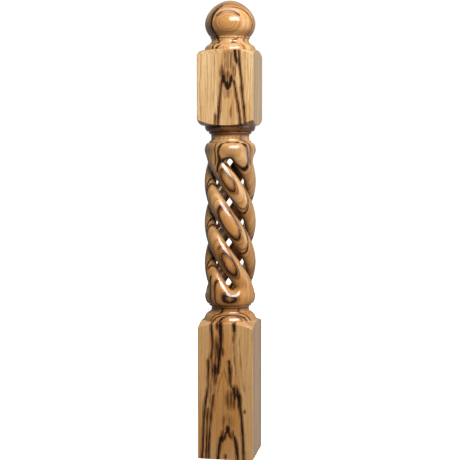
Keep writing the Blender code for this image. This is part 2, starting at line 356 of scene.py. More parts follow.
def top_turning():
    neck_foot = (TOP_NECK.step_radius + LEDGE / 2, Z_TOP_NECK)
    points = [(TOP_ROUND.radius, Z_TOP_ROUND)]
    points += quarter(points[-1], neck_foot, True, fullness=TOP_ROUND.fullness)
    return points + neck_profile(TOP_NECK, Z_TOP_NECK) + ball_profile()


ANGLES = column_angles()
foot_columns = [lower_column(a) + lower_turning() for a in ANGLES]
head_columns = [hanging_turning() + upper_column(a) + top_turning() for a in ANGLES]
foot_mesh = grid_mesh("foot_grid", foot_columns, ANGLES)
head_mesh = grid_mesh("head_grid", head_columns, ANGLES)

# %% [markdown]
# Node trees hold long formulas, for the twist here and for the wood later. This small class lets them be
# written as ordinary sums: adding or multiplying two terms places a Math node and gives its output as a
# new term.

# %% Sums in a node tree


def feed(tree, socket, value):
    """Links another node's output to a socket, or writes a plain value on it."""
    value = getattr(value, "value", value)
    if isinstance(value, bpy.types.NodeSocket):
        tree.links.new(value, socket)
    else:
        socket.default_value = value


class Term:
    """A number in a node tree, that can be used in a formula."""

    def __init__(self, tree, value):
        self.tree = tree
        self.value = value

    def maths(self, operation, *others):
        node = self.tree.nodes.new("ShaderNodeMath")
        node.operation = operation
        for socket, value in zip(node.inputs, (self,) + others):
            feed(self.tree, socket, value)
        return Term(self.tree, node.outputs[0])

    def __add__(self, other):
        return self.maths("ADD", other)

    def __sub__(self, other):
        return self.maths("SUBTRACT", other)

    def __rsub__(self, other):
        return Term(self.tree, other).maths("SUBTRACT", self)

    def __mul__(self, other):
        return self.maths("MULTIPLY", other)

    def __truediv__(self, other):
        return self.maths("DIVIDE", other)

    def __rtruediv__(self, other):
        return Term(self.tree, other).maths("DIVIDE", self)

    def __pow__(self, other):
        return self.maths("POWER", other)

    __radd__ = __add__
    __rmul__ = __mul__

    def size(self):
        return self.maths("ABSOLUTE")

    def at_least(self, other):
        return self.maths("MAXIMUM", other)

    def at_most(self, other):
        return self.maths("MINIMUM", other)

    def root(self):
        return self.maths("SQRT")

    def sine(self):
        return self.maths("SINE")

    def cosine(self):
        return self.maths("COSINE")


print("Sums can be written with +, -, *, / and **")

# %% [markdown]
# The twist is carved, not turned. A carver wraps a paper pattern round the blank and marks the slots
# through it, so the model does the same. The pattern of one slot's cell is drawn flat: across the paper
# is distance round the waist, up the paper is height from the middle of the twist. Rings of faces run
# from the slot's edge out to the crests of its two strands, close together at the edge, where the strand
# curves most.

# %% Paper pattern of one slot
CELL_COLUMNS = 40
SIDE_ROWS = 110
END_ROWS = 8
OUTER_RINGS = 15
INNER_RINGS = 8
HALF_CELL = FULL_TURN / STRANDS / 2
SLOT_SLOPE = math.atan2(PITCH, -FULL_TURN * WAIST_RADIUS)
HALF_LINE = (SLOT_LENGTH - SLOT_WIDTH) / 2 / math.sin(SLOT_SLOPE)


def slot_edge(side_rows, end_columns):
    """Points round one slot's edge on the paper, from the foot of its right-hand side upwards."""
    along = (math.cos(SLOT_SLOPE), math.sin(SLOT_SLOPE))
    beside = (math.sin(SLOT_SLOPE), -math.cos(SLOT_SLOPE))
    points = []
    for hand in (1, -1):
        for i in range(side_rows):
            reach = hand * HALF_LINE * (2 * i / side_rows - 1)
            off = hand * SLOT_WIDTH / 2
            points.append((along[0] * reach + beside[0] * off, along[1] * reach + beside[1] * off))
        for i in range(end_columns):
            bend = math.pi * i / end_columns
            off = hand * SLOT_WIDTH / 2 * math.cos(bend)
            reach = hand * (HALF_LINE + SLOT_WIDTH / 2 * math.sin(bend))
            points.append((along[0] * reach + beside[0] * off, along[1] * reach + beside[1] * off))
    return points


def on_paper(angle, up):
    """A place given by its angle from the slot's middle line. The paper's lines lean with the screw."""
    return WAIST_RADIUS * (angle - FULL_TURN * up / PITCH), up


def cell_border(side_rows, end_rows, columns, end):
    """Points round the cell's border on the paper, matched one to one with the slot's edge."""
    row = SLOT_LENGTH / 2 - SLOT_WIDTH
    points = []
    for hand in (1, -1):
        for i in range(side_rows):
            points.append(on_paper(hand * HALF_CELL, hand * row * (2 * i / side_rows - 1)))
        for i in range(end_rows):
            points.append(on_paper(hand * HALF_CELL, hand * (row + (end - row) * i / end_rows)))
        for i in range(columns):
            points.append(on_paper(hand * HALF_CELL * (1 - 2 * i / columns), hand * end))
        for i in range(end_rows):
            points.append(on_paper(-hand * HALF_CELL, hand * (end - (end - row) * i / end_rows)))
    return points


def ring_share(i, count):
    left = math.cos(math.pi / 2 * i / count) if i < count else 0
    return 1 - left ** (2 / STRAND_FULLNESS)


def draw_skin(bm, layer, edge, border, rings, inside):
    """Rings of faces between a slot's edge and its cell's border."""
    drawn = []
    for i in range(rings + 1):
        share = ring_share(i, rings)
        ring = []
        for near, far in zip(edge, border):
            place = [n + (f - n) * share for n, f in zip(near, far)]
            point = bm.verts.new((place[0], place[1], 0))
            point[layer] = inside
            ring.append(point)
        drawn.append(ring)
    for inner, outer in zip(drawn, drawn[1:]):
        for i in range(len(edge)):
            j = (i + 1) % len(edge)
            bm.faces.new((inner[i], inner[j], outer[j], outer[i]))


def draw_collar(bm, hand):
    """Rows of faces from the end of the cell to the flat end of the twist."""
    rows = []
    for i in range(CURVE_STEPS + 1):
        rounded = COLLAR_ROUND * math.sin(math.pi / 2 * i / CURVE_STEPS)
        up = hand * (TWIST_LENGTH / 2 - COLLAR_ROUND + rounded)
        row = []
        for k in range(CELL_COLUMNS + 1):
            across, height = on_paper(HALF_CELL * (2 * k / CELL_COLUMNS - 1), up)
            row.append(bm.verts.new((across, height, 0)))
        rows.append(row)
    for low, high in zip(rows, rows[1:]):
        for k in range(CELL_COLUMNS):
            bm.faces.new((low[k], low[k + 1], high[k + 1], high[k]))


def paper_pattern():
    bm = bmesh.new()
    inside = bm.verts.layers.float.new("inside")
    edge = slot_edge(SIDE_ROWS, CELL_COLUMNS + 2 * END_ROWS)
    outer_end = TWIST_LENGTH / 2 - COLLAR_ROUND
    inner_end = SLOT_LENGTH / 2 + HOLLOW_PAST_SLOTS
    outer_border = cell_border(SIDE_ROWS, END_ROWS, CELL_COLUMNS, outer_end)
    inner_border = cell_border(SIDE_ROWS, END_ROWS, CELL_COLUMNS, inner_end)
    draw_skin(bm, inside, edge, outer_border, OUTER_RINGS, 0)
    draw_skin(bm, inside, edge, inner_border, INNER_RINGS, 1)
    for hand in (1, -1):
        draw_collar(bm, hand)
    mesh = bpy.data.meshes.new("paper_pattern")
    bm.to_mesh(mesh)
    bm.free()
    print("The paper pattern has", len(mesh.polygons), "faces")
    return mesh


paper = bpy.data.objects.new("paper_pattern", paper_pattern())
bpy.context.scene.collection.objects.link(paper)

# %% [markdown]
# The strands follow a rule, so Geometry Nodes wrap the pattern round the blank. For each point, the
# distance to the slot tells how far the strand's rounded surface has risen: nothing at the slot's edge,
# the full turned radius at the crest. The inner skin sinks to the hollow in the same way. Four copies, a
# quarter turn apart, are made real and merged where they touch. Any size can be changed in the modifier.

# %% Node tree that wraps the pattern
HAIR = 0.000002
MERGE_DISTANCE = 0.00001
TwistInput = namedtuple("TwistInput", "name kind value")
TWIST_INPUTS = (
    TwistInput("Strands", "NodeSocketInt", STRANDS),
    TwistInput("Pitch", "NodeSocketFloat", PITCH),
    TwistInput("Crest radius", "NodeSocketFloat", TWIST_DIAMETER / 2),
    TwistInput("Waist radius", "NodeSocketFloat", WAIST_RADIUS),
    TwistInput("Hollow radius", "NodeSocketFloat", HOLLOW_RADIUS),
    TwistInput("Slot length", "NodeSocketFloat", SLOT_LENGTH),
    TwistInput("Slot width", "NodeSocketFloat", SLOT_WIDTH),
    TwistInput("Slot turn", "NodeSocketFloat", SLOT_TURN),
    TwistInput("Strand fullness", "NodeSocketFloat", STRAND_FULLNESS),
    TwistInput("Twist length", "NodeSocketFloat", TWIST_LENGTH),
    TwistInput("Collar radius", "NodeSocketFloat", COLLAR_RADIUS),
    TwistInput("Collar round", "NodeSocketFloat", COLLAR_ROUND),
    TwistInput("Middle height", "NodeSocketFloat", Z_MIDDLE),
    TwistInput("Merge distance", "NodeSocketFloat", MERGE_DISTANCE),
    TwistInput("Wood", "NodeSocketMaterial", None),
)


def twist_tree():
    tree = bpy.data.node_groups.new("wrap_barley_twist", "GeometryNodeTree")
    tree.interface.new_socket("Pattern", in_out="INPUT", socket_type="NodeSocketGeometry")
    for item in TWIST_INPUTS:
        tree.interface.new_socket(item.name, in_out="INPUT", socket_type=item.kind)
    tree.interface.new_socket("Twist", in_out="OUTPUT", socket_type="NodeSocketGeometry")
    inputs = tree.nodes.new("NodeGroupInput").outputs
    given = {item.name: Term(tree, inputs[item.name]) for item in TWIST_INPUTS}

    paper_place = tree.nodes.new("ShaderNodeSeparateXYZ")
    feed(tree, paper_place.inputs[0], tree.nodes.new("GeometryNodeInputPosition").outputs[0])
    across, up = Term(tree, paper_place.outputs["X"]), Term(tree, paper_place.outputs["Y"])
    attribute = tree.nodes.new("GeometryNodeInputNamedAttribute")
    attribute.data_type = "FLOAT"
    attribute.inputs["Name"].default_value = "inside"
    inside = Term(tree, attribute.outputs["Attribute"])

    # How the slot leans on the paper, as the cosine and sine of its slope
    round_waist = given["Waist radius"] * FULL_TURN
    lean = (round_waist * round_waist + given["Pitch"] * given["Pitch"]).root()
    slope_cos, slope_sin = 0 - round_waist / lean, given["Pitch"] / lean

    # Distance from the slot's edge, where less than a hair counts as the edge itself
    half_line = (given["Slot length"] - given["Slot width"]) / 2 / slope_sin
    along = across * slope_cos + up * slope_sin
    beside = up * slope_cos - across * slope_sin
    past = (along.size() - half_line).at_least(0)
    distance = (beside * beside + past * past).root() - given["Slot width"] / 2 - HAIR

    # Share of the full depth, by a rounded curve from the edge to the crest
    half_strand = round_waist / given["Strands"] / 2 * slope_sin - given["Slot width"] / 2
    fullness = given["Strand fullness"]
    left = 1 - (distance / half_strand).at_least(0).at_most(1)
    share = (1 - left**fullness) ** (1 / fullness)

    # Turned radius of the blank, rounded off at the collars
    past_round = up.size() - (given["Twist length"] / 2 - given["Collar round"])
    bend = (past_round / given["Collar round"]).at_least(0).at_most(1)
    collar_share = (1 - bend * bend).at_least(0).root()
    blank = given["Collar radius"] + (given["Crest radius"] - given["Collar radius"]) * collar_share
    full = blank + (given["Hollow radius"] - blank) * inside
    radius = given["Waist radius"] + (full - given["Waist radius"]) * share
    turn = across / given["Waist radius"] - math.pi / 2

    place = tree.nodes.new("ShaderNodeCombineXYZ")
    feed(tree, place.inputs["X"], radius * turn.cosine())
    feed(tree, place.inputs["Y"], radius * turn.sine())
    feed(tree, place.inputs["Z"], given["Middle height"] + up)
    wrap = tree.nodes.new("GeometryNodeSetPosition")
    feed(tree, wrap.inputs["Geometry"], inputs["Pattern"])
    feed(tree, wrap.inputs["Position"], place.outputs[0])

    centres = tree.nodes.new("GeometryNodePoints")
    feed(tree, centres.inputs["Count"], given["Strands"])
    index = Term(tree, tree.nodes.new("GeometryNodeInputIndex").outputs[0])
    facing = tree.nodes.new("ShaderNodeCombineXYZ")
    feed(tree, facing.inputs["Z"], index * FULL_TURN / given["Strands"] + given["Slot turn"])
    copies = tree.nodes.new("GeometryNodeInstanceOnPoints")
    feed(tree, copies.inputs["Points"], centres.outputs[0])
    feed(tree, copies.inputs["Instance"], wrap.outputs[0])
    feed(tree, copies.inputs["Rotation"], facing.outputs[0])
    real = tree.nodes.new("GeometryNodeRealizeInstances")
    feed(tree, real.inputs[0], copies.outputs[0])
    merge = tree.nodes.new("GeometryNodeMergeByDistance")
    feed(tree, merge.inputs["Geometry"], real.outputs[0])
    feed(tree, merge.inputs["Distance"], given["Merge distance"])
    wood = tree.nodes.new("GeometryNodeSetMaterial")
    feed(tree, wood.inputs["Geometry"], merge.outputs[0])
    feed(tree, wood.inputs["Material"], given["Wood"])
    feed(tree, tree.nodes.new("NodeGroupOutput").inputs[0], wood.outputs[0])
    return tree


wrap_tree = twist_tree()
print("The tree that wraps the twist has", len(wrap_tree.nodes), "nodes")

# %% [markdown]
# The tree is only a recipe, so the sheet of paper gets it as a modifier, with the sizes filled in by
# their sockets' identifiers. What comes out is kept as a plain mesh. The sheet and its modifier have done
# their work and are thrown away. The material is made here with nothing in it yet, because the tree hands
# it to the faces.

# %% Wrap the pattern
streaked_wood = bpy.data.materials.new("streaked_wood")
streaked_wood.use_nodes = True


def wrapped_twist(paper, tree, wood):
    modifier = paper.modifiers.new("wrap", "NODES")
    modifier.node_group = tree
    values = {item.name: item.value for item in TWIST_INPUTS}
    values["Wood"] = wood
    for item in tree.interface.items_tree:
        if item.item_type == "SOCKET" and item.in_out == "INPUT" and item.name in values:
            modifier[item.identifier] = values[item.name]
    graph = bpy.context.evaluated_depsgraph_get()
    mesh = bpy.data.meshes.new_from_object(paper.evaluated_get(graph))
    paper.modifiers.remove(modifier)
    bpy.data.objects.remove(paper)
    mesh.name = "twist_skin"
    print("The wrapped twist has", len(mesh.polygons), "faces")
    return mesh


twist_mesh = wrapped_twist(paper, wrap_tree, streaked_wood)

# %% [markdown]
# The real post has no joint anywhere, so the three meshes become one closed skin. On the flat ledge
# beside each collar lie two open rims, one inside the other, with different numbers of points. Blender
# can bridge loops, but two loops in one plane confuse it, so a short walk round both rims stitches them,
# always from the point that lags behind. The two ends of the hollow are filled. Edges sharper than the
# angle below stay crisp, and everything else is shaded as one smooth surface.

# %% Join the skin
CRISP_ANGLE = math.radians(32)
RIM_TOLERANCE = 0.00005


def open_edges(bm, z):
    def level(vertex):
        return abs(vertex.co.z - z) < RIM_TOLERANCE

    return [edge for edge in bm.edges if edge.is_boundary and all(map(level, edge.verts))]


def around(vertex):
    return math.atan2(vertex.co.y, vertex.co.x) % FULL_TURN


def stitch_ledge(bm, z):
    """Fills the ring between two open rims of one height with triangles."""
    rim_points = {v for e in open_edges(bm, z) for v in e.verts}
    reach = {v: math.hypot(v.co.x, v.co.y) for v in rim_points}
    middle = (min(reach.values()) + max(reach.values())) / 2
    inner_rim = sorted((v for v in rim_points if reach[v] <= middle), key=around)
    outer_rim = sorted((v for v in rim_points if reach[v] > middle), key=around)
    rims = (inner_rim, outer_rim)
    steps = [0, 0]
    while steps[0] < len(rims[0]) or steps[1] < len(rims[1]):
        here = [rim[step % len(rim)] for rim, step in zip(rims, steps)]
        ahead = [rim[(step + 1) % len(rim)] for rim, step in zip(rims, steps)]
        rounds = [FULL_TURN * ((step + 1) // len(rim)) for rim, step in zip(rims, steps)]
        turns = [around(v) + so_far for v, so_far in zip(ahead, rounds)]
        side = 0 if turns[0] < turns[1] else 1
        bm.faces.new((here[0], here[1], ahead[side]))
        steps[side] += 1


def joined_post(name, meshes, wood):
    bm = bmesh.new()
    for part in meshes:
        bm.from_mesh(part)
    bmesh.ops.remove_doubles(bm, verts=bm.verts, dist=HAIR)
    for z in (Z_TWIST, Z_UPPER_NECK):
        stitch_ledge(bm, z)
    hollow_end = SLOT_LENGTH / 2 + HOLLOW_PAST_SLOTS
    for z in (Z_MIDDLE - hollow_end, Z_MIDDLE + hollow_end):
        bmesh.ops.holes_fill(bm, edges=open_edges(bm, z))
    bmesh.ops.recalc_face_normals(bm, faces=bm.faces)
    left_open = sum(e.is_boundary for e in bm.edges)
    for layer in list(bm.verts.layers.float.values()):
        bm.verts.layers.float.remove(layer)
    mesh = bpy.data.meshes.new(name)
    litres = bm.calc_volume(signed=True) * 1000
    bm.to_mesh(mesh)
    bm.free()
    mesh.materials.clear()
    mesh.materials.append(wood)
    mesh.shade_smooth()
    mesh.set_sharp_from_angle(angle=CRISP_ANGLE)
    mesh.calc_loop_triangles()
    print(name, "has", len(mesh.loop_triangles), "triangles and", left_open, "open edges")
    print("It holds", round(litres, 3), "litres of wood")
    return mesh


post_mesh = joined_post("turned_post", (foot_mesh, twist_mesh, head_mesh), streaked_wood)
post = bpy.data.objects.new("turned_post", post_mesh)
bpy.context.scene.collection.objects.link(post)

# %% [markdown]
# Floor and light. The pale sweep runs on without an edge, so the floor gives off a little light of its
# own and throws none back on the post. Four soft boxes light it: a wide one to the right of the camera
# and above it, which draws the bright patch on the ball, a weak one overhead for the tops of the strands,
# one far to the right for the side faces, and one behind that lights the wood but isn't mirrored in the
# lacquer.

# %% Studio
FLOOR_SIDE = 40.0
FLOOR_GREY = 0.9
FLOOR_GLOW = 1.1
WHITE = (1, 1, 1, 1)


def pale_floor():
    mesh = bpy.data.meshes.new("pale_floor")
    half = FLOOR_SIDE / 2
    corners = [(-half, -half, 0), (half, -half, 0), (half, half, 0), (-half, half, 0)]
    mesh.from_pydata(corners, [], [(0, 1, 2, 3)])
    material = bpy.data.materials.new("pale_floor")
    material.use_nodes = True
    shader = material.node_tree.nodes["Principled BSDF"]
    shader.inputs["Base Color"].default_value = (FLOOR_GREY, FLOOR_GREY, FLOOR_GREY, 1)
    shader.inputs["Roughness"].default_value = 0.9
    shader.inputs["Emission Color"].default_value = WHITE
    shader.inputs["Emission Strength"].default_value = FLOOR_GLOW
    mesh.materials.append(material)
    floor = bpy.data.objects.new("pale_floor", mesh)
    bpy.context.scene.collection.objects.link(floor)
    floor.visible_diffuse = False
    floor.visible_glossy = False


# Angles in degrees, round to the right of the front and up, lengths in metres and power in watts. Each box
# faces the post's axis at its aim height.
SoftBox = namedtuple("SoftBox", "name around up distance width height power aim mirrored")
SOFT_BOXES = (
    SoftBox("key_box", 31, 33, 2.6, 1.9, 1.05, 98, 0.75, True),
    SoftBox("top_box", 12, 80, 2.0, 1.7, 0.6, 13, 0.7, True),
    SoftBox("side_box", 85, 10, 2.5, 2.0, 2.0, 21, 0.6, True),
    SoftBox("back_box", 205, 20, 2.8, 1.6, 1.6, 34, 0.6, False),
)


def soft_box(box):
    data = bpy.data.lights.new(box.name, "AREA")
    data.shape = "RECTANGLE"
    data.size = box.width
    data.size_y = box.height
    data.energy = box.power
    light = bpy.data.objects.new(box.name, data)
    around, up = math.radians(box.around), math.radians(box.up)
    out = Vector((math.sin(around) * math.cos(up), -math.cos(around) * math.cos(up), math.sin(up)))
    light.location = Vector((0, 0, box.aim)) + out * box.distance
    light.rotation_euler = out.to_track_quat("Z", "Y").to_euler()
    light.visible_glossy = box.mirrored
    bpy.context.scene.collection.objects.link(light)


BACKDROP_MIRRORED = 0.28
BACKDROP_SPREAD = 1.5
ROOM_SHARE = 0.12
FILL_LIGHT = 0.035


def studio_world():
    """White to the camera, grey where the backdrop is mirrored, and nearly dark as a light."""
    world = bpy.data.worlds.new("studio_world")
    world.use_nodes = True
    tree = world.node_tree
    background = tree.nodes["Background"]
    background.inputs["Color"].default_value = WHITE
    rays = tree.nodes.new("ShaderNodeLightPath").outputs
    seen, mirrored = Term(tree, rays["Is Camera Ray"]), Term(tree, rays["Is Glossy Ray"])
    direction = tree.nodes.new("ShaderNodeSeparateXYZ")
    feed(tree, direction.inputs[0], tree.nodes.new("ShaderNodeTexCoord").outputs["Generated"])
    behind = (Term(tree, direction.outputs["Y"]) * BACKDROP_SPREAD + 0.5).at_least(ROOM_SHARE).at_most(1)
    feed(tree, background.inputs["Strength"], seen + mirrored * behind * BACKDROP_MIRRORED + FILL_LIGHT)
    bpy.context.scene.world = world
    bpy.context.scene.view_settings.view_transform = "Standard"


pale_floor()
studio_world()
for box in SOFT_BOXES:
    soft_box(box)
print("Lights:", [light.name for light in bpy.data.lights])

# %% [markdown]
# The timber is a streaked wood: honey-coloured, with black layers that follow its growth. On a real post
# one pattern goes right through the solid, so a turned or carved surface cuts the layers into nested
# rings, and a flat face shows them as tall streaks. A picture laid on the surface could never turn a
# corner like that. The material works out the wood at every point in space instead, from Object
# coordinates in millimetres.

# %% Places in the wood
tree = streaked_wood.node_tree
MM = 1000


def place_terms(tree):
    place = tree.nodes.new("ShaderNodeSeparateXYZ")
    feed(tree, place.inputs[0], tree.nodes.new("ShaderNodeTexCoord").outputs["Object"])
    return [Term(tree, place.outputs[axis]) * MM for axis in "XYZ"]


x, y, z = place_terms(tree)


def noise(sizes, detail=2.0, seed=0.0, places=None):
    """Noise from 0 to 1 whose lumps have these sizes along X, Y and Z, in millimetres."""
    joined = tree.nodes.new("ShaderNodeCombineXYZ")
    for socket, place, size in zip(joined.inputs, places or (x, y, z), sizes):
        feed(tree, socket, place / size + seed)
    node = tree.nodes.new("ShaderNodeTexNoise")
    feed(tree, node.inputs["Vector"], joined.outputs[0])
    node.inputs["Scale"].default_value = 1
    node.inputs["Detail"].default_value = detail
    return Term(tree, node.outputs[0])


def swing(sizes, reach, detail=1.0, seed=0.0):
    """Noise spread evenly about zero, that strays about as far as the reach."""
    return (noise(sizes, detail, seed) - 0.5) * (2 * reach)


def rise(value, low, high, steps="SMOOTHSTEP"):
    """From 0 at the low value to 1 at the high one, with soft ends."""
    node = tree.nodes.new("ShaderNodeMapRange")
    node.interpolation_type = steps
    feed(tree, node.inputs["Value"], value)
    node.inputs["From Min"].default_value = low
    node.inputs["From Max"].default_value = high
    return Term(tree, node.outputs[0])


def between(value, low, high, soft):
    """1 from the low value to the high one, and 0 outside, over soft ends of this length."""
    return rise(value, low - soft, low + soft) * (1 - rise(value, high - soft, high + soft))


def follow(value, points, handles="AUTO"):
    """A curve through (value, result) points, level beyond the first and the last."""
    node = tree.nodes.new("ShaderNodeFloatCurve")
    node.mapping.use_clip = False
    curve = node.mapping.curves[0]
    while len(curve.points) < len(points):
        curve.points.new(0.5, 0.5)
    for point, location in zip(curve.points, sorted(points)):
        point.location = location
        point.handle_type = handles
    node.mapping.update()
    feed(tree, node.inputs["Value"], value)
    return Term(tree, node.outputs[0])


def most(terms):
    """The highest of several numbers, each joined as it is made, to keep the renderer's sums short."""
    terms = iter(terms)
    highest = next(terms)
    for term in terms:
        highest = highest.at_least(term)
    return highest


print("Places in the wood are in millimetres")

# %% [markdown]
# The growth layers stand nearly upright and nearly square to the front of the post. Depth through the
# layers is one number, worked out from the place, the way the layers face at that height, and two gentle
# waves. Everything that follows the grain reads this depth, so the fine lines turn into ovals on the ball
# and run straight down the blocks.

# %% Depth through the layers
FACING_ON_FOOT = ((0, 22), (300, 22))
FACING_ON_TWIST = ((390, 12), (430, 6), (640, 6), (720, 14))
FACING_ABOVE = ((770, 22), (915, 22), (960, 5), (1041, 5))
FACING_BY_HEIGHT = FACING_ON_FOOT + FACING_ON_TWIST + FACING_ABOVE
facing = follow(z, FACING_BY_HEIGHT, "VECTOR") * math.radians(1)
waves = swing((70, 70, 240), 2.0) + swing((16, 16, 60), 1.1, seed=7)
depth = x * facing.sine() - y * facing.cosine() + waves
print("The way the layers face is set at", len(FACING_BY_HEIGHT), "heights")

# %% [markdown]
# Close up, wood is a bundle of fibres with pores and flecks between them. Each of these is one noise,
# drawn out long along the post and thin across it. The ones that follow the layers read depth in place of
# X. The rest read the place itself, because fibres run up the timber whatever the layers do.

# %% Fine grain
fine_lines = noise((0.8, 260, 260), 2, places=(depth, z, y))
broad_bands = noise((5.0, 300, 700), 2, seed=3, places=(depth, z, y))
late_wood = rise(noise((1.7, 300, 300), 3, seed=19, places=(depth, z, y)), 0.53, 0.68)
pores = rise(noise((1.3, 1.3, 11), 2, seed=71), 0.58, 0.70)
clouds = rise(noise((24, 24, 70), 2, seed=29), 0.46, 0.72)
fibres = noise((1.5, 1.5, 38), 3, seed=5)
ray_flecks = noise((3.0, 3.0, 14), 2, seed=11)
jagged = swing((1.7, 1.7, 26), 1.9, 2, seed=13)
print("The wood's tree has", len(tree.nodes), "nodes with its grain")

# %% [markdown]
# Black layers that run through the whole post are thin shells of equal depth. Each has the way it faces,
# its depth, and the heights between which it shows, because real streaks start and die out along the
# grain. A layer is thick where noise lets it swell, and where the surface grazes it, which gives the dark
# ends of the rings.

# %% Black layers

# Degrees round to the right that a layer faces, its (height, depth) points, its half width, and its lowest
# and highest place, in millimetres. Side 1 shows on the right only, -1 on the left only, and 0 on both.
Layer = namedtuple("Layer", "facing depths half_width low high side")
LAYERS = (
    Layer(18, ((957, 30), (990, 32.8), (1013, 31.5), (1028, 30)), 2.4, 940, 1100, -1),
    Layer(18, ((957, 33), (990, 35), (1013, 39.5), (1028, 42)), 0.6, 936, 1040, 1),
    Layer(18, ((957, 22), (990, 26), (1013, 26), (1028, 24)), 0.6, 940, 1100, -1),
    Layer(5, ((990, 48.0), (1020, 47.2)), 0.4, 990, 1034, 0),
    Layer(8, ((990, 33), (1035, 30)), 0.4, 1014, 1100, 0),
    Layer(5, ((920, 51.6), (940, 51.6)), 0.9, 912, 946, -1),
    Layer(12, ((925, 49), (935, 48), (955, 38)), 0.1, 912, 966, 1),
    Layer(12, ((925, 43), (935, 40), (955, 30)), 0.7, 915, 968, -1),
    Layer(18, ((640, 46.5), (680, 47.6), (700, 48.4), (714, 48.0), (735, 44)), 1.3, 644, 731, 0),
    Layer(12, ((742, 51.5), (758, 51.0)), 0.5, 736, 768, 0),
    Layer(25, ((715, 42.0), (742, 41.0)), 0.2, 712, 744, 1),
    Layer(18, ((660, 43), (704, 42.4), (716, 40), (735, 38)), 0.3, 660, 730, 0),
    Layer(5, ((600, 55.9), (660, 56.3)), 0.3, 588, 682, 0),
    Layer(7, ((600, 54.6), (660, 54.9)), -0.4, 596, 672, 0),
    Layer(9, ((500, 53.2), (580, 53.0)), 0.6, 486, 592, 0),
    Layer(8, ((500, 50.6), (580, 50.6)), -0.4, 494, 584, 0),
    Layer(9, ((400, 56.0), (480, 56.0)), 0.4, 396, 490, 0),
    Layer(9, ((400, 54.2), (480, 54.2)), -0.4, 402, 482, 0),
    Layer(18, ((460, 48.2), (670, 48.2)), -0.2, 470, 672, 0),
    Layer(1, ((420, 35.0), (650, 34.0)), 0.6, 424, 650, 0),
    Layer(18, ((360, 31.4), (420, 31.4)), 0.9, 340, 430, -1),
    Layer(18, ((360, 42.4), (420, 42.0)), 0.9, 340, 420, -1),
    Layer(11, ((360, 56.8), (420, 56.8)), 0.9, 350, 404, 0),
    Layer(5, ((300, 50.2), (360, 50.2)), 0.7, 300, 352, 0),
    Layer(18, ((300, 51.3), (360, 51.3)), 1.0, 300, 352, 0),
    Layer(12, ((300, 40.3), (360, 39)), 0.8, 300, 356, 0),
    Layer(25, ((0, 6), (1041, 10)), 1.2, 330, 740, 0),
    Layer(10, ((0, -18), (1041, -22)), 1.2, 330, 1100, 0),
    Layer(14, ((0, -36), (1041, -33)), 0.8, 330, 1100, 0),
    Layer(8, ((0, -51), (1041, -50)), 0.7, 330, 1100, 0),
)
print("Black layers:", len(LAYERS))

# %% [markdown]
# A streak has a near-black core and a brown fringe, and both follow from one distance. The core's half
# width swells and shrinks with a noise, and tapers away at the streak's two ends. A layer that shows on
# one side of the post only loses its width before it crosses the middle.

# %% Core and fringe
BROWN_FRINGE, CORE_FRINGE = 6.0, 0.8
LAYER_SOFTNESS = 0.36
LONGEST_TAPER, TAPER_SHARE = 11, 0.3
PAST_END, NO_WIDTH = 5, -9
SIDE_FULL, SIDE_GONE, SIDE_LOSS = 12, 4, 12
swelling = noise((20, 20, 50), 2, seed=23) * 2.4 - 0.35


def dose(distance, half_width, soft=1.0):
    """How much black there is: 1 in a streak's core, falling through brown to 0 a little way outside."""
    return rise(half_width - distance.size(), -BROWN_FRINGE * soft, CORE_FRINGE * soft, "LINEAR")


def tapered(half_width, low, high):
    """A half width that shrinks to nothing at both ends of a streak."""
    taper = min(LONGEST_TAPER, (high - low) * TAPER_SHARE)
    foot = ((low - PAST_END, NO_WIDTH), (low + taper, half_width))
    tip = ((high - taper, half_width), (high + PAST_END, NO_WIDTH))
    return follow(z, foot + tip, "VECTOR")


wiggle = waves * 0.25 + swing((11, 11, 26), 0.8, 2, seed=37)


def depth_facing(degrees):
    angle = math.radians(degrees)
    return x * math.sin(angle) - y * math.cos(angle) + wiggle


DEPTHS = {layer.facing: depth_facing(layer.facing) for layer in LAYERS}


def layer_dose(layer):
    half_width = tapered(layer.half_width, layer.low, layer.high) * swelling + jagged * 0.1
    if layer.side:
        half_width = half_width - rise(x * layer.side, SIDE_FULL, SIDE_GONE) * SIDE_LOSS
    return dose(DEPTHS[layer.facing] - follow(z, layer.depths), half_width, LAYER_SOFTNESS)


through_dose = most(layer_dose(layer) for layer in LAYERS)
print("The layers face", len(DEPTHS), "ways")

# %% [markdown]
# On the square blocks the streaks wander too freely for plain layers. They could be drawn as curves on
# the faces, but then they would stop at the arches. So each is a path of a few points, its height against
# its distance across the face, that goes right through the block from front to back. The left face
# borrows the same paths, and the right face keeps plain grain.

# %% Streaks through the blocks

# A half width, and (height, distance across) points, in millimetres. A half width below zero leaves only
# the brown fringe, where a black streak lies just under the surface.
Streak = namedtuple("Streak", "half_width points")
UPPER_STREAKS = (
    Streak(1.3, ((872, -5.4), (857, -7.6), (833, -9.9), (804, -12.2), (782, -14.6), (722, -16.6))),
    Streak(1.5, ((872, -4.6), (856, -0.5), (834, 5.4))),
    Streak(1.2, ((834, 7.4), (848, 11.5), (878, 14.2))),
    Streak(0.6, ((868, 17.5), (859, 20.0), (841, 23.3), (824, 25.6), (802, 30.3), (722, 36.5))),
    Streak(0.6, ((960, 31.0), (924, 31.3), (867, 35.8), (824, 39.5), (802, 42.6), (771, 44.9), (722, 46))),
    Streak(1.2, ((812, 41.6), (800, 42.8), (786, 43.8))),
    Streak(2.2, ((960, 22.4), (924, 23.0), (888, 27.4))),
    Streak(-0.6, ((794, -21.3), (773, -21.5), (722, -22))),
    Streak(-2.6, ((812, -6.0), (796, -8.0), (780, -8.5))),
    Streak(-2.6, ((806, 16.0), (784, 13.0), (772, 15.0))),
    Streak(-4.0, ((960, 3.0), (905, 4.0), (884, 0.0), (868, -2.0))),
    Streak(-4.0, ((905, 16.0), (888, 17.0), (872, 14.5))),
    Streak(-4.4, ((960, -20.0), (890, -23.0), (850, -24.0), (790, -30.0))),
)
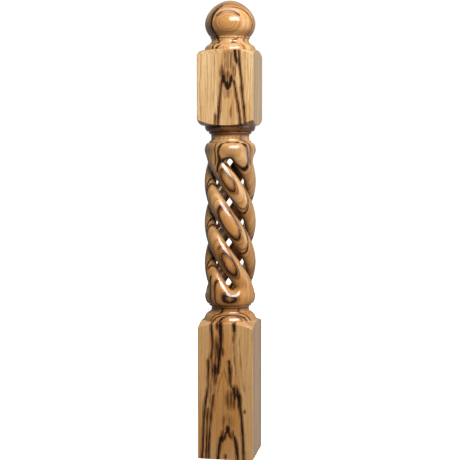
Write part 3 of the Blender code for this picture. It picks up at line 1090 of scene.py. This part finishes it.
LOWER_STREAKS = (
    Streak(0.8, ((350, -31.6), (310, -31.4), (262, -29.2), (242, -31.0), (226, -34))),
    Streak(
        0.6,
        ((240, -38.0), (193, -38.5), (154, -41.2), (137, -44.7), (112, -47), (54, -50.6), (-30, -55)),
    ),
    Streak(0.5, ((350, -17.4), (292, -17.4))),
    Streak(2.6, ((350, -10.5), (300, -9.8), (277, -8.5), (240, -12.6), (217, -15), (190, -17.5))),
    Streak(0.7, ((268, -8.2), (252, -6.2), (236, -4.2))),
    Streak(1.6, ((350, 20.4), (286, 20.8))),
    Streak(
        1.0,
        ((240, 8.8), (207, 11.2), (174, 13.5), (160, 21), (139, 32.2), (122, 35.2), (77, 39.5), (-30, 43.8)),
    ),
    Streak(2.0, ((225, 10.0), (207, 11.2), (190, 12.6))),
    Streak(0.6, ((160, -27), (138, -28), (101, -32.7), (31, -37.4), (-30, -39))),
    Streak(0.3, ((128, -38), (100, -40), (42, -42.5), (-30, -45))),
    Streak(0.9, ((214, -24.4), (198, -24.4))),
    Streak(1.5, ((64, -6.5), (45, -10.5), (20, -14.2), (-30, -16.5))),
    Streak(1.3, ((64, -6.0), (36, -5.4))),
    Streak(1.3, ((38, -4.5), (58, 0.5), (74, 6.2))),
    Streak(1.3, ((74, 6.2), (60, 10.5), (46, 15.4))),
    Streak(1.4, ((66, 18.0), (50, 23.0), (4, 29.8), (-30, 31))),
    Streak(-0.6, ((118, 44.8), (110, 44.8))),
    Streak(0.3, ((16, 1.3), (2, 1.5))),
    Streak(-3.4, ((250, 20.0), (220, 23.0), (190, 25.0))),
    Streak(-4.0, ((290, 32.0), (230, 36.0), (160, 44.0))),
    Streak(-3.8, ((210, -3.0), (180, -12.0), (140, -20.0), (100, -24.0))),
    Streak(-3.6, ((212, -2.0), (184, 4.0), (160, 8.0))),
)
left_side = rise(0 - x - y.size(), -0.5, 0.5)
right_side = rise(x - y.size(), -0.5, 0.5)
across = x * (1 - left_side) - y * left_side
wandering = across + swing((14, 14, 30), 0.9, 2, seed=31) + jagged * 0.45


def streak_dose(streak):
    heights = [p[0] for p in streak.points]
    half_width = tapered(streak.half_width + 0.5, min(heights), max(heights)) * swelling + jagged * 0.9
    return dose(wandering - follow(z, streak.points), half_width)


print("Streaks above:", len(UPPER_STREAKS), "and below:", len(LOWER_STREAKS))

# %% [markdown]
# Where streaks run together, the wood between them turns smoky. Each patch is a soft oval, torn into
# flames by a long noise. A patch keeps to one stretch of the block, so a row of them gives the broken
# heart of the figure. At the end the blocks' pattern and the layers' pattern are joined, each in its own
# stretch of the post.

# %% Smoky patches

# The middle and the half sizes of a patch in millimetres, and its strength, which is brown up to black.
Patch = namedtuple("Patch", "across height half_wide half_high strength")
SMOKY_PATCHES = (
    Patch(-4.0, 862, 6, 14, 1.5),
    Patch(6.0, 847, 8, 14, 1.7),
    Patch(15.0, 862, 6, 14, 1.3),
    Patch(5.0, 866, 18, 22, 0.95),
    Patch(-7.0, 876, 9, 26, 0.95),
    Patch(6.0, 902, 20, 40, 0.62),
    Patch(20.0, 878, 8, 28, 0.85),
    Patch(4.0, 832, 14, 20, 0.65),
    Patch(-12.0, 812, 6, 30, 0.5),
    Patch(26.0, 914, 7, 28, 0.8),
    Patch(44.0, 792, 5, 20, 0.8),
    Patch(-10.5, 268, 8, 40, 1.0),
    Patch(-19.0, 250, 10, 50, 0.95),
    Patch(-31.0, 225, 10, 34, 0.75),
    Patch(21.0, 288, 7, 30, 0.85),
    Patch(22.0, 262, 6, 40, 0.5),
    Patch(-24.0, 200, 13, 40, 1.1),
    Patch(-30.0, 150, 14, 60, 0.6),
    Patch(13.0, 200, 7, 36, 0.9),
    Patch(24.0, 156, 13, 26, 1.35),
    Patch(34.0, 136, 8, 30, 1.35),
    Patch(14.0, 140, 20, 34, 0.9),
    Patch(-6.0, 57, 7, 20, 1.3),
    Patch(6.0, 72, 8, 16, 1.4),
    Patch(17.0, 60, 7, 16, 1.0),
    Patch(6.0, 88, 20, 30, 0.6),
    Patch(4.0, 26, 18, 40, 0.15),
)
flame = rise(noise((4.5, 4.5, 40), 3, seed=41), 0.3, 0.68)


def nearness(patch, soft):
    """1 in the middle of a patch, and 0 at its edge."""
    aside = wandering.maths("MULTIPLY_ADD", 1 / patch.half_wide, -patch.across / patch.half_wide)
    above = z.maths("MULTIPLY_ADD", 1 / patch.half_high, -patch.height / patch.half_high)
    return rise(aside * aside + above * above, 1.0, soft)


torn = flame * 0.5 + 0.5
patch_doses = (nearness(patch, 0.02) * torn * patch.strength for patch in SMOKY_PATCHES)
streak_doses = (streak_dose(streak) for streak in UPPER_STREAKS + LOWER_STREAKS)
block_dose = most(streak_doses).at_least(most(patch_doses)) * (1 - right_side)
FOOT_END, RAIL_START, RAIL_END, CHANGEOVER = 317, 756, 926, 2

in_foot = 1 - rise(z, FOOT_END - CHANGEOVER, FOOT_END + CHANGEOVER)
in_blocks = in_foot.at_least(between(z, RAIL_START, RAIL_END, CHANGEOVER))
plain_dose = through_dose * (1 - in_blocks) + block_dose * in_blocks
edges = plain_dose * (1 - plain_dose) * 4
black_dose = (plain_dose + edges * (noise((1.1, 1.1, 22), 3, seed=53) - 0.5) * 1.3).at_least(0).at_most(1)
print("Smoky patches:", len(SMOKY_PATCHES))

# %% [markdown]
# Five colours make the wood: pale and honey wood in fine lines, an orange tint in the heart of the
# arches, brown where a streak fades out, and near-black in its core. Brown is also painted shade: the
# turned necks, the round under the upper block, the ball's underside and top, and the inner sides of
# the strands are mixed towards it as shade.

# %% Colours of the wood
PALE = (0.82, 0.57, 0.30, 1)
HONEY = (0.60, 0.335, 0.125, 1)
ORANGE = (0.56, 0.255, 0.070, 1)
BROWN_AND_SHADE = (0.19, 0.072, 0.020, 1)
INK = (0.007, 0.003, 0.0012, 1)
TINTS = (
    Patch(10, 800, 20, 70, 0.9),
    Patch(4, 890, 24, 60, 0.7),
    Patch(-10, 230, 36, 120, 0.9),
    Patch(0, 100, 44, 140, 0.9),
)
# Painted shade: stretches of height mixed towards brown where shade falls: the necks, the round under the
# upper block, the top of the upper collar, and the ball's underside and top.
ShadeBand = namedtuple("ShadeBand", "low high soft share")
SHADE_BANDS = (
    ShadeBand(736, 757, 5, 0.95),
    ShadeBand(957, 970, 5, 0.55),
    ShadeBand(700, 712, 5, 0.3),
    ShadeBand(336, 352, 6, 0.6),
    ShadeBand(1018, 1100, 8, 0.45),
)
OPEN_LOW, OPEN_HIGH = 396, 690


def mixed(share, first, second):
    node = tree.nodes.new("ShaderNodeMix")
    node.data_type = "RGBA"
    feed(tree, node.inputs["Factor"], share)
    feed(tree, node.inputs[6], first)
    feed(tree, node.inputs[7], second)
    return node.outputs[2]


grain = fine_lines * 0.45 + broad_bands * 0.25 + fibres * 0.30
heart = rise(depth, 49, 57) * (1 - in_blocks)
block_tint = most(nearness(patch, 0.1) * patch.strength for patch in TINTS)
tinted = block_tint * in_blocks + (1 - in_blocks) * 0.95 + rise(z, 950, 970) * 0.3
lower_part = 1 - rise(z, 250, 700)
# Painted shade in the turned necks, under the upper block and on the ball.
painted_shade_bands = most(between(z, g.low, g.high, g.soft) * g.share for g in SHADE_BANDS)
orange_share = tinted * 0.5 + heart * 0.3 + rise(broad_bands, 0.5, 0.75) * 0.3 + lower_part * 0.5
side_lines = rise(noise((20, 500, 500), 3, seed=61, places=(y, z, x)), 0.42, 0.62)
aged = pores * 0.3 + late_wood * (0.58 - in_blocks * 0.28) + clouds * (1 - in_blocks) * 0.12
flecked = rise(ray_flecks * 0.5 + fibres * 0.5, 0.56, 0.75) * 0.3
brown_share = rise(black_dose, 0, 0.8) * 0.92 + flecked + aged + right_side * side_lines * 0.35
colour = mixed(rise(grain, 0.40, 0.60), PALE, HONEY)
colour = mixed(orange_share.at_most(1), colour, ORANGE)
# Painted shade on the inner sides of the strands, strongest near the axis, within the open stretch of the
# twist.
painted_shade_inside = (1 - rise((x * x + y * y).root(), 38, 54)) * between(z, OPEN_LOW, OPEN_HIGH, 12)
# Painted shade: the height bands and the inside of the twist are mixed towards brown.
colour = mixed(painted_shade_bands.at_least(painted_shade_inside * 0.85), colour, BROWN_AND_SHADE)
colour = mixed(brown_share.at_most(1), colour, BROWN_AND_SHADE)
colour = mixed(rise(black_dose, 0.70, 1.02) * 0.96, colour, INK)
shader = tree.nodes["Principled BSDF"]
feed(tree, shader.inputs["Base Color"], colour)
print("Tints:", len(TINTS), "and grooves:", len(SHADE_BANDS))

# %% [markdown]
# The post is finished in a clear satin lacquer. It could be mixed into the wood's own shine, but the
# shader has a coat of its own, which stays smooth however rough the wood is below. The wood is dull, a
# little duller along the fibres, and the fibres stand up by a hair, so that it looks planed and not cast.

# %% Lacquer and relief
LACQUER = {"Specular IOR Level": 0.05, "Coat Weight": 0.95, "Coat IOR": 1.6, "Coat Roughness": 0.19}
LEAST_ROUGH, FIBRE_ROUGH = 0.4, 0.25
RELIEF, RELIEF_STRENGTH = 0.00025, 0.2

feed(tree, shader.inputs["Roughness"], LEAST_ROUGH + fibres * FIBRE_ROUGH)
for name, value in LACQUER.items():
    shader.inputs[name].default_value = value
bump = tree.nodes.new("ShaderNodeBump")
bump.inputs["Distance"].default_value = RELIEF
bump.inputs["Strength"].default_value = RELIEF_STRENGTH
feed(tree, bump.inputs["Height"], fibres * 0.5 + fine_lines * 0.5)
feed(tree, shader.inputs["Normal"], bump.outputs[0])
print("The wood's tree has", len(tree.nodes), "nodes")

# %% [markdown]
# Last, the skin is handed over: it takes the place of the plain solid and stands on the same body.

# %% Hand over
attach(post, "root")
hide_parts(NODE)
bpy.context.view_layer.update()
